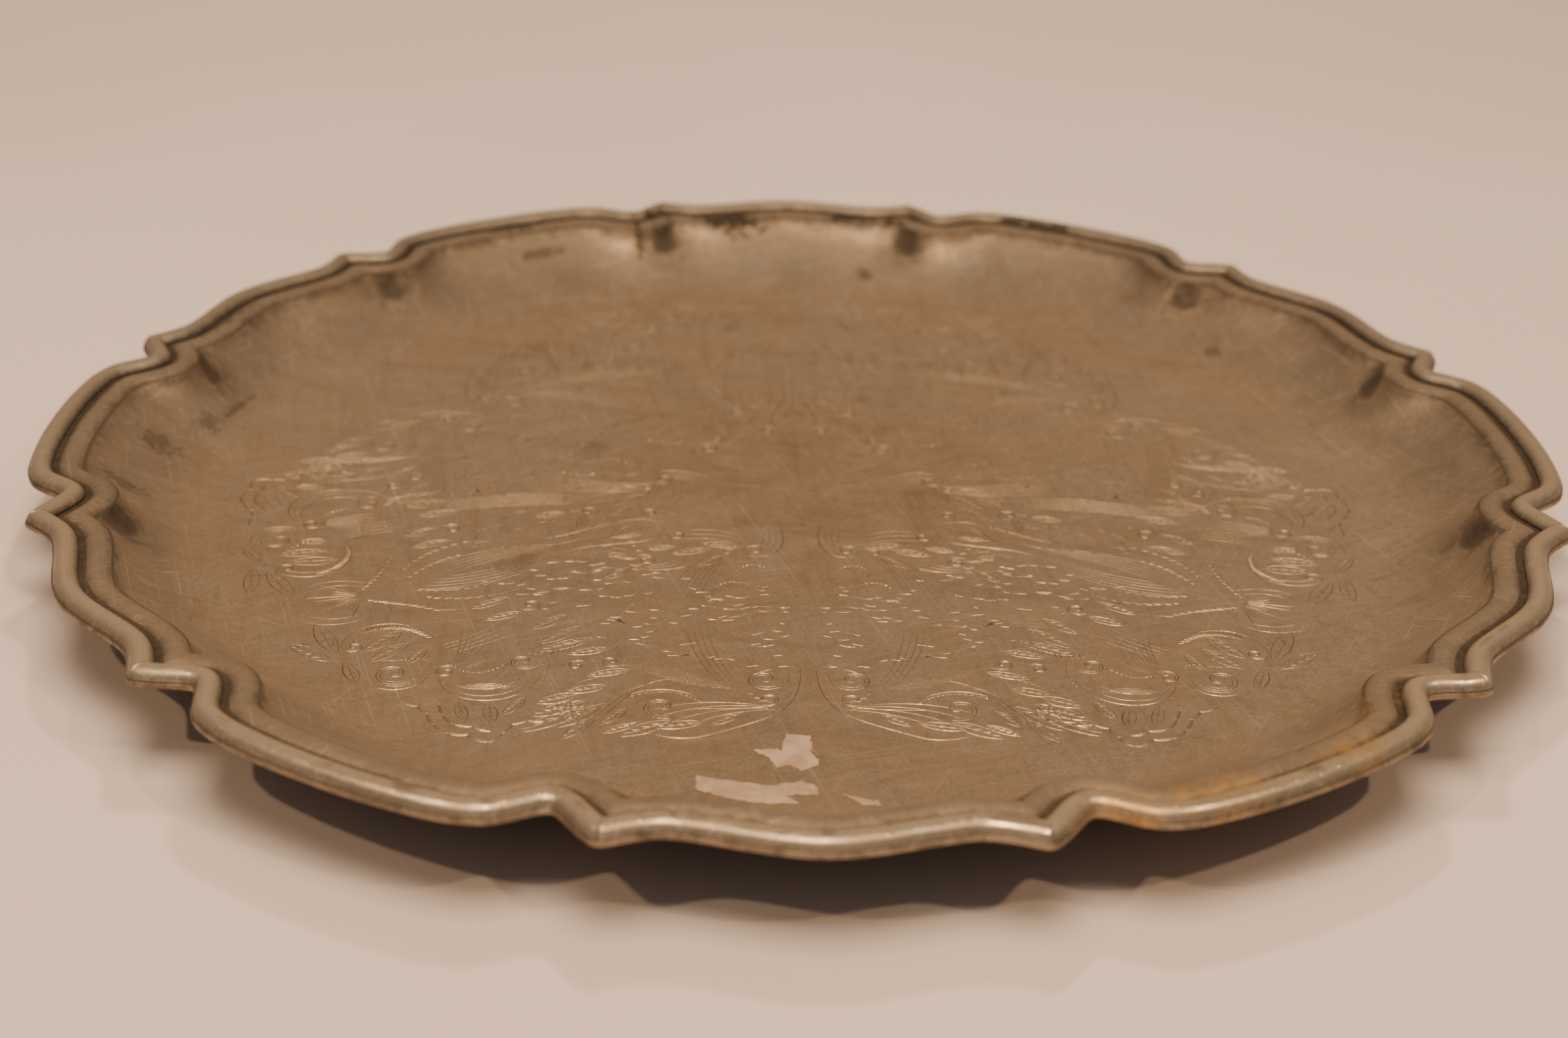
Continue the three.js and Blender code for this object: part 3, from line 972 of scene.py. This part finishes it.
def tarnished_silver(name, polish, grey):
    """Old silver plate.

    polish is how far handling has brightened the raised parts, with a painted sheen that is strongest towards
    the front, and grey how cool its tarnish is.
    """
    g = Graph(name)
    broad = g.noise(0.013, 2, 0.5)
    patchy = g.noise(0.06, 5, 0.68, distortion=0.6)
    mottle = g.noise(0.5, 3, 0.7)
    radius = g.vector("LENGTH", g.vector("MULTIPLY", g.mm, (1, 1, 0)))
    place_on_tray = g.add("SeparateXYZ", {0: g.mm})
    raised = g.ramp(place_on_tray.outputs["Z"], SHEET + 0.6, SHEET + 5)
    marks = fine_marks(g, patchy, radius)
    colour = aged_colour(g, broad, patchy, mottle, radius, raised, grey, marks)

    # Painted sheen: rubbed places are brightened most towards the front, -Y, and least at the back.
    front_sheen = g.ramp(place_on_tray.outputs["Y"], -150, 120, 1, 0.3)
    wear_and_front_sheen = g.math("MULTIPLY", front_sheen, g.ramp(patchy, 0.3, 0.65, 0.3, 1))
    rub_and_sheen = g.math("MULTIPLY", g.mark("rub_and_sheen"), wear_and_front_sheen)
    wobble = g.math("ADD", g.ramp(patchy, 0.25, 0.75, -0.6, 0.6), g.ramp(mottle, 0.3, 0.7, -0.5, 0.5))
    black = black_tarnish_and_shade(g, mottle, wobble)
    cut = g.ramp(g.mark("cut"), 0.02, 0.2)
    # Rubbed silver, real wear with a painted highlight.
    colour = g.mix(g.math("MULTIPLY", rub_and_sheen, polish), colour, POLISHED_SHEEN_SILVER)
    # Black tarnish in the creases and spots, and painted shade on the underside and under the bead.
    colour = g.mix(g.math("MULTIPLY", black, 0.88), colour, BLACK_TARNISH_AND_SHADE)
    colour = g.mix(g.math("MULTIPLY", stained(g, mottle, wobble), 0.6), colour, STAIN_ORANGE)
    colour = g.mix(g.math("MULTIPLY", cut, 0.15), colour, CUT_BRIGHT)

    worn_bright = g.math("MULTIPLY", rub_and_sheen, 0.38 * polish)
    rough = silver_roughness(g, patchy, mottle, raised, worn_bright, black, cut)
    normal = g.bump(broad, 0.0012, 0.5)
    normal = g.bump(mottle, 0.00006, 0.5, normal)
    normal = g.bump(marks, 0.00004, 0.4, normal)
    metal = g.math("MAXIMUM", g.ramp(patchy, 0.3, 0.7, 0.74, 0.84), g.math("MAXIMUM", rub_and_sheen, cut))
    g.set(Base_Color=colour, Metallic=metal, Roughness=rough, Normal=normal)
    return g.material


def lead_alloy():
    g = Graph("lead_alloy")
    cloudy = g.noise(0.3, 5, 0.7)
    pores = g.noise(2.5, 3, 0.6)
    colour = g.mix(g.ramp(cloudy, 0.3, 0.7), rgb(0.26, 0.26, 0.27), rgb(0.42, 0.42, 0.42))
    g.set(
        Base_Color=colour,
        Metallic=1.0,
        Roughness=g.ramp(cloudy, 0.3, 0.7, 0.5, 0.75),
        Normal=g.bump(pores, 0.0001, 0.6),
    )
    return g.material


def paper_residue():
    g = Graph("paper_residue")
    fibres = g.noise(1.4, 5, 0.7)
    grubby = g.noise(0.25, 4, 0.6)
    colour = g.mix(g.ramp(grubby, 0.35, 0.65), rgb(0.33, 0.22, 0.14), rgb(0.43, 0.31, 0.2))
    colour = g.mix(g.ramp(fibres, 0.5, 0.8, 0, 0.5), colour, rgb(0.3, 0.22, 0.15))
    g.set(Base_Color=colour, Roughness=0.7, Normal=g.bump(fibres, 0.00008, 0.7))
    return g.material


def table_top():
    g = Graph("table_top")
    cloudy = g.noise(0.004, 3, 0.5)
    speckle = g.noise(0.5, 3, 0.6)
    colour = g.mix(g.ramp(cloudy, 0.3, 0.7), rgb(0.75, 0.62, 0.52), rgb(0.79, 0.66, 0.555))
    g.set(
        Base_Color=colour,
        Roughness=g.ramp(speckle, 0.3, 0.7, 0.07, 0.12),
        IOR=1.75,
        Normal=g.bump(speckle, 0.00003, 0.1),
    )
    return g.material


# ---------------------------------------------------------------- label residue
RESIDUE_THICKNESS = 0.07
# Corners of each torn patch, x and y in mm.
PATCHES = (
    (
        (-4.5, -100.5),
        (-0.3, -101),
        (-0.2, -106),
        (1.0, -110.5),
        (-2.0, -112.3),
        (-4, -110.5),
        (-6.5, -111.5),
        (-8, -108),
        (-10.5, -105.8),
        (-7.5, -105.4),
        (-5.5, -106),
    ),
    (
        (-20.5, -114.2),
        (-15, -115.5),
        (-8, -117),
        (-2, -115.5),
        (0.6, -117.5),
        (0.3, -119.8),
        (-5, -120),
        (-3, -122.4),
        (-10, -122.3),
        (-16, -120.5),
        (-20, -118.5),
    ),
    (
        (4.5, -119.4),
        (8, -121),
        (10.5, -121.6),
        (11, -122.8),
        (8, -122.9),
        (6.5, -121.6),
    ),
)
TEAR_STEPS = 6
TEAR_SPREAD = 0.16
RESIDUE_LIFT = 0.005


def torn_outline(corners):
    points = []
    for start, end in zip(corners, corners[1:] + corners[:1]):
        start, end = np.array(start), np.array(end)
        for t in np.linspace(0, 1, TEAR_STEPS, endpoint=False):
            points.append(start + t * (end - start) + RNG.normal(0, TEAR_SPREAD, 2))
    return points


def residue_patch(index, corners):
    outline = torn_outline(list(corners))
    count = len(outline)
    lift = SHEET + RESIDUE_LIFT
    bottom = [(x, y, lift) for x, y in outline]
    top = [(x, y, lift + RESIDUE_THICKNESS * RNG.uniform(0.8, 1.6)) for x, y in outline]
    faces = [tuple(range(count))[::-1], tuple(range(count, 2 * count))]
    faces += [(i, (i + 1) % count, count + (i + 1) % count, count + i) for i in range(count)]
    return mesh_object(f"label_residue_{index}", bottom + top, faces, {}, range(len(faces)))


# ---------------------------------------------------------------- the tray
body_silver = tarnished_silver("body_silver", 0.75, 0.12)
border_silver = tarnished_silver("border_silver", 1.0, 0.6)
lead = lead_alloy()
paper = paper_residue()

draw_engraving()
sheet = build_sheet()
sheet.data.materials.append(body_silver)
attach(sheet, "root")
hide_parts("tray_body")

for number in range(1, REPEATS + 1):
    turn = REPEAT_ANGLE * (number - 1)
    sections = {"bracket": (turn - POINT, turn + POINT), "arc": (turn + POINT, turn + REPEAT_ANGLE - POINT)}
    for kind, (start, end) in sections.items():
        moulding = build_border(f"moulding_{kind}_{number}", start, end)
        moulding.data.materials.append(border_silver)
        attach(moulding, "root")
        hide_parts(f"border_{kind}_{number}")
        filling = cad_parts[f"{kind}_filling_{number}"]
        filling.data.materials.clear()
        filling.data.materials.append(lead)

for index, corners in enumerate(PATCHES, 1):
    patch = residue_patch(index, corners)
    patch.data.materials.append(paper)
    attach(patch, "root")

# ---------------------------------------------------------------- stage, light and camera
TABLE_SIZE = 6
WARM = (1.0, 0.72, 0.45)
MILD = (1.0, 0.79, 0.62)
# Lamps that show as reflections: name, place and size in metres, and power in watts. The key
# shows in reflections only; the others also light the tray and the table.
BRIGHT_LAMPS = (
    ("key", (-0.05, -0.55, 0.78), (0.06, 0.03), 4.6),
    ("left", (-0.5, -0.4, 0.75), (0.03, 0.03), 1.8),
    ("right", (0.5, -0.35, 0.75), (0.03, 0.03), 1.8),
)
# Lamps that light the tray and the table but don't show as reflections.
SOFT_LAMPS = (
    ("top", (0, -0.05, 1.3), (0.9, 0.9), 21),
    ("rear", (0.05, 1.1, 1.25), (0.12, 0.12), 13),
)
# The room's light from the front (-Y) and from the back, and the directions it blends between.
FRONT_LIGHT = rgb(0.16, 0.175, 0.195)
BACK_LIGHT = rgb(0.21, 0.155, 0.105)
BLEND_FROM = -0.7
BLEND_TO = 0.9
CAMERA_PLACE = (-0.0154, -0.4289, 0.2035)
CAMERA_TILT = 64.03
CAMERA_YAW = -1.67
CAMERA_ROLL = 1.29
FOCUS_PLACE = (0, -0.075, SHEET * MM)


def lay_table():
    bpy.ops.mesh.primitive_plane_add(size=TABLE_SIZE)
    table = bpy.context.object
    table.name = "table"
    table.data.materials.append(table_top())


def softbox(name, location, target, size, power, colour):
    light = bpy.data.lights.new(name, "AREA")
    light.shape = "RECTANGLE"
    light.size, light.size_y = size
    light.energy = power
    light.color = colour
    lamp = bpy.data.objects.new(name, light)
    lamp.location = location
    lamp.rotation_euler = (Vector(target) - Vector(location)).to_track_quat("-Z", "Y").to_euler()
    bpy.context.scene.collection.objects.link(lamp)
    return lamp


def hang_lamps():
    for name, location, size, power in BRIGHT_LAMPS:
        lamp = softbox(name, location, (0, -0.1, 0), size, power, WARM)
        lamp.visible_diffuse = name != "key"
    for name, location, size, power in SOFT_LAMPS:
        lamp = softbox(name, location, (0, 0, 0), size, power, MILD)
        lamp.visible_glossy = False


def light_room():
    world = bpy.data.worlds.new("studio")
    bpy.context.scene.world = world
    world.use_nodes = True
    nodes, links = world.node_tree.nodes, world.node_tree.links
    direction = nodes.new("ShaderNodeTexCoord")
    split = nodes.new("ShaderNodeSeparateXYZ")
    spread = nodes.new("ShaderNodeMapRange")
    spread.inputs["From Min"].default_value = BLEND_FROM
    spread.inputs["From Max"].default_value = BLEND_TO
    blend = nodes.new("ShaderNodeMix")
    blend.data_type = "RGBA"
    blend.inputs[6].default_value = FRONT_LIGHT
    blend.inputs[7].default_value = BACK_LIGHT
    links.new(direction.outputs["Generated"], split.inputs[0])
    links.new(split.outputs["Y"], spread.inputs["Value"])
    links.new(spread.outputs[0], blend.inputs[0])
    links.new(blend.outputs[2], nodes["Background"].inputs[0])


def place_camera():
    focus = bpy.data.objects.new("focus", None)
    focus.location = FOCUS_PLACE
    bpy.context.scene.collection.objects.link(focus)
    lens = bpy.data.cameras.new("camera")
    lens.lens = 50
    lens.sensor_width = 36
    lens.dof.use_dof = True
    lens.dof.focus_object = focus
    lens.dof.aperture_fstop = 11
    camera = bpy.data.objects.new("camera", lens)
    turning = (
        Matrix.Rotation(math.radians(CAMERA_YAW), 4, "Z")
        @ Matrix.Rotation(math.radians(CAMERA_TILT), 4, "X")
        @ Matrix.Rotation(math.radians(CAMERA_ROLL), 4, "Z")
    )
    camera.matrix_world = Matrix.Translation(CAMERA_PLACE) @ turning
    bpy.context.scene.collection.objects.link(camera)
    bpy.context.scene.camera = camera


lay_table()
hang_lamps()
light_room()
place_camera()

# ---------------------------------------------------------------- update the view layer
bpy.context.view_layer.update()
